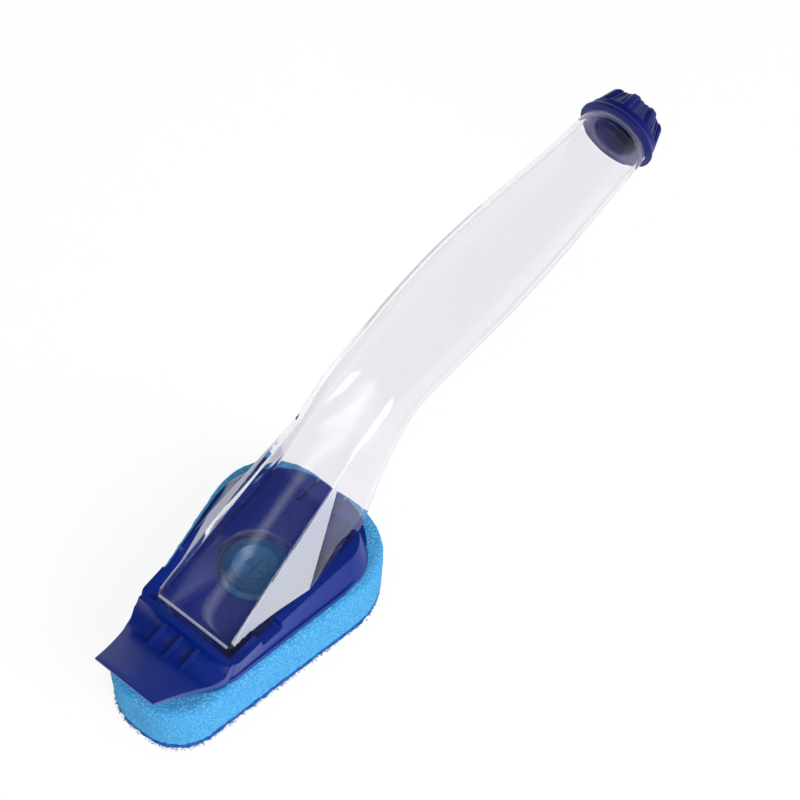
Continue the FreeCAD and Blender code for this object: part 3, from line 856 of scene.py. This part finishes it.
# %% White floor
def white_sweep():
    made = bpy.data.materials.new("white_sweep")
    made.use_nodes = True
    tree = made.node_tree
    tree.nodes.remove(tree.nodes["Principled BSDF"])
    path = add(tree, "ShaderNodeLightPath")
    seen = add(tree, "ShaderNodeMath", {0: path.outputs["Is Camera Ray"], 1: path.outputs["Is Glossy Ray"]},
               operation="MAXIMUM")
    through = add(tree, "ShaderNodeMath", {0: seen.outputs[0], 1: path.outputs["Is Transmission Ray"]},
                  operation="MAXIMUM")
    share = add(tree, "ShaderNodeMath", {0: through.outputs[0], 1: 0.82}, operation="MULTIPLY")
    paper = add(tree, "ShaderNodeBsdfDiffuse", {"Color": linear("#f4f4f4")})
    glow = add(tree, "ShaderNodeEmission", {"Color": linear("#ffffff"), "Strength": 1.06})
    mixed = add(tree, "ShaderNodeMixShader", {0: share.outputs[0], 1: paper.outputs[0], 2: glow.outputs[0]})
    tree.links.new(mixed.outputs[0], tree.nodes["Material Output"].inputs["Surface"])
    return made


bpy.ops.mesh.primitive_plane_add(size=8.0, location=(0.0, 0.0, -0.3 * MM))
floor = named("floor")
floor.data.materials.append(white_sweep())
print("floor is", floor.dimensions.x, "m wide")

# %% Soft light
def softbox(name, aim, place, width, length, radiance, along=(0.0, 0.0, 1.0)):
    """An area lamp of this brightness at a place, facing a point, with its long side near a direction."""
    lamp = bpy.data.lights.new(name, "AREA")
    lamp.shape = "RECTANGLE"
    lamp.size = width
    lamp.size_y = length
    lamp.energy = radiance * math.pi * width * length
    holder = bpy.data.objects.new(name, lamp)
    bpy.context.scene.collection.objects.link(holder)
    back = (Vector(place) - Vector(aim)).normalized()
    up = Vector(along)
    up = (up - back * up.dot(back)).normalized()
    side = up.cross(back)
    holder.matrix_world = Matrix((side, up, back)).transposed().to_4x4()
    holder.location = place


HEAD = Vector((0.012, 0.0, 0.046))
softbox("key", (0.05, 0.0, 0.03), (-0.2, -0.82, 0.64), 0.7, 0.7, 4.8)
STREAK_FROM = HEAD + Vector((-0.367, 0.297, 0.881)) * 0.8
for width, radiance in ((0.02, 2.2), (0.045, 1.0)):
    softbox("streak", HEAD, STREAK_FROM, width, 0.8, radiance, along=(1.0, 0.0, 0.4))

world = bpy.context.scene.world or bpy.data.worlds.new("studio")
bpy.context.scene.world = world
world.use_nodes = True
sky = world.node_tree
sky.nodes.clear()
ray = add(sky, "ShaderNodeLightPath")
towards = add(sky, "ShaderNodeSeparateXYZ", {0: add(sky, "ShaderNodeTexCoord").outputs["Generated"]})
fill = add(sky, "ShaderNodeMapRange", {"Value": towards.outputs["Y"], "From Min": -1.0, "From Max": 1.0,
                                       "To Min": 0.68, "To Max": 0.24})
overhead = add(sky, "ShaderNodeMapRange", {"Value": ray.outputs["Is Diffuse Ray"], "To Min": 0.08,
                                           "To Max": fill.outputs["Result"]})
level = add(sky, "ShaderNodeMapRange", {"Value": towards.outputs["Z"], "From Min": 0.0, "From Max": 0.5,
                                        "To Min": 1.0, "To Max": overhead.outputs["Result"]})
plain = add(sky, "ShaderNodeBackground", {"Color": linear("#ffffff"), "Strength": 1.0})
dome = add(sky, "ShaderNodeBackground", {"Color": linear("#ffffff"), "Strength": level.outputs["Result"]})
both = add(sky, "ShaderNodeMixShader", {0: ray.outputs["Is Camera Ray"], 1: dome.outputs[0],
                                        2: plain.outputs[0]})
add(sky, "ShaderNodeOutputWorld", {"Surface": both.outputs[0]})
print("lamps:", [lamp.name for lamp in bpy.data.lights])

# %% [markdown]
# ## Camera
# The photograph looks down on the wand from its front right, 58 degrees above the table, with a long lens and
# a slight roll. The three directions below are the camera's own axes in the wand's frame.

# %% Camera
RIGHT = Vector((0.61970941, -0.78347122, 0.04618551))
UP = Vector((0.65069987, 0.54580982, 0.52790276))
BACK = Vector((-0.43880512, -0.2970934, 0.8480481))
CAMERA_PLACE = Vector((-173.3464, -167.5839, 513.9962))
FIELD_OF_VIEW = 24.0

lens = bpy.data.cameras.new("camera")
lens.sensor_width = 36.0
lens.lens = lens.sensor_width / 2 / math.tan(math.radians(FIELD_OF_VIEW / 2))
camera = bpy.data.objects.new("camera", lens)
bpy.context.scene.collection.objects.link(camera)
camera.matrix_world = Matrix((RIGHT, UP, BACK)).transposed().to_4x4()
camera.location = CAMERA_PLACE * MM
bpy.context.scene.camera = camera
bpy.context.scene.view_settings.view_transform = "Standard"
print("lens:", round(lens.lens, 2), "mm")
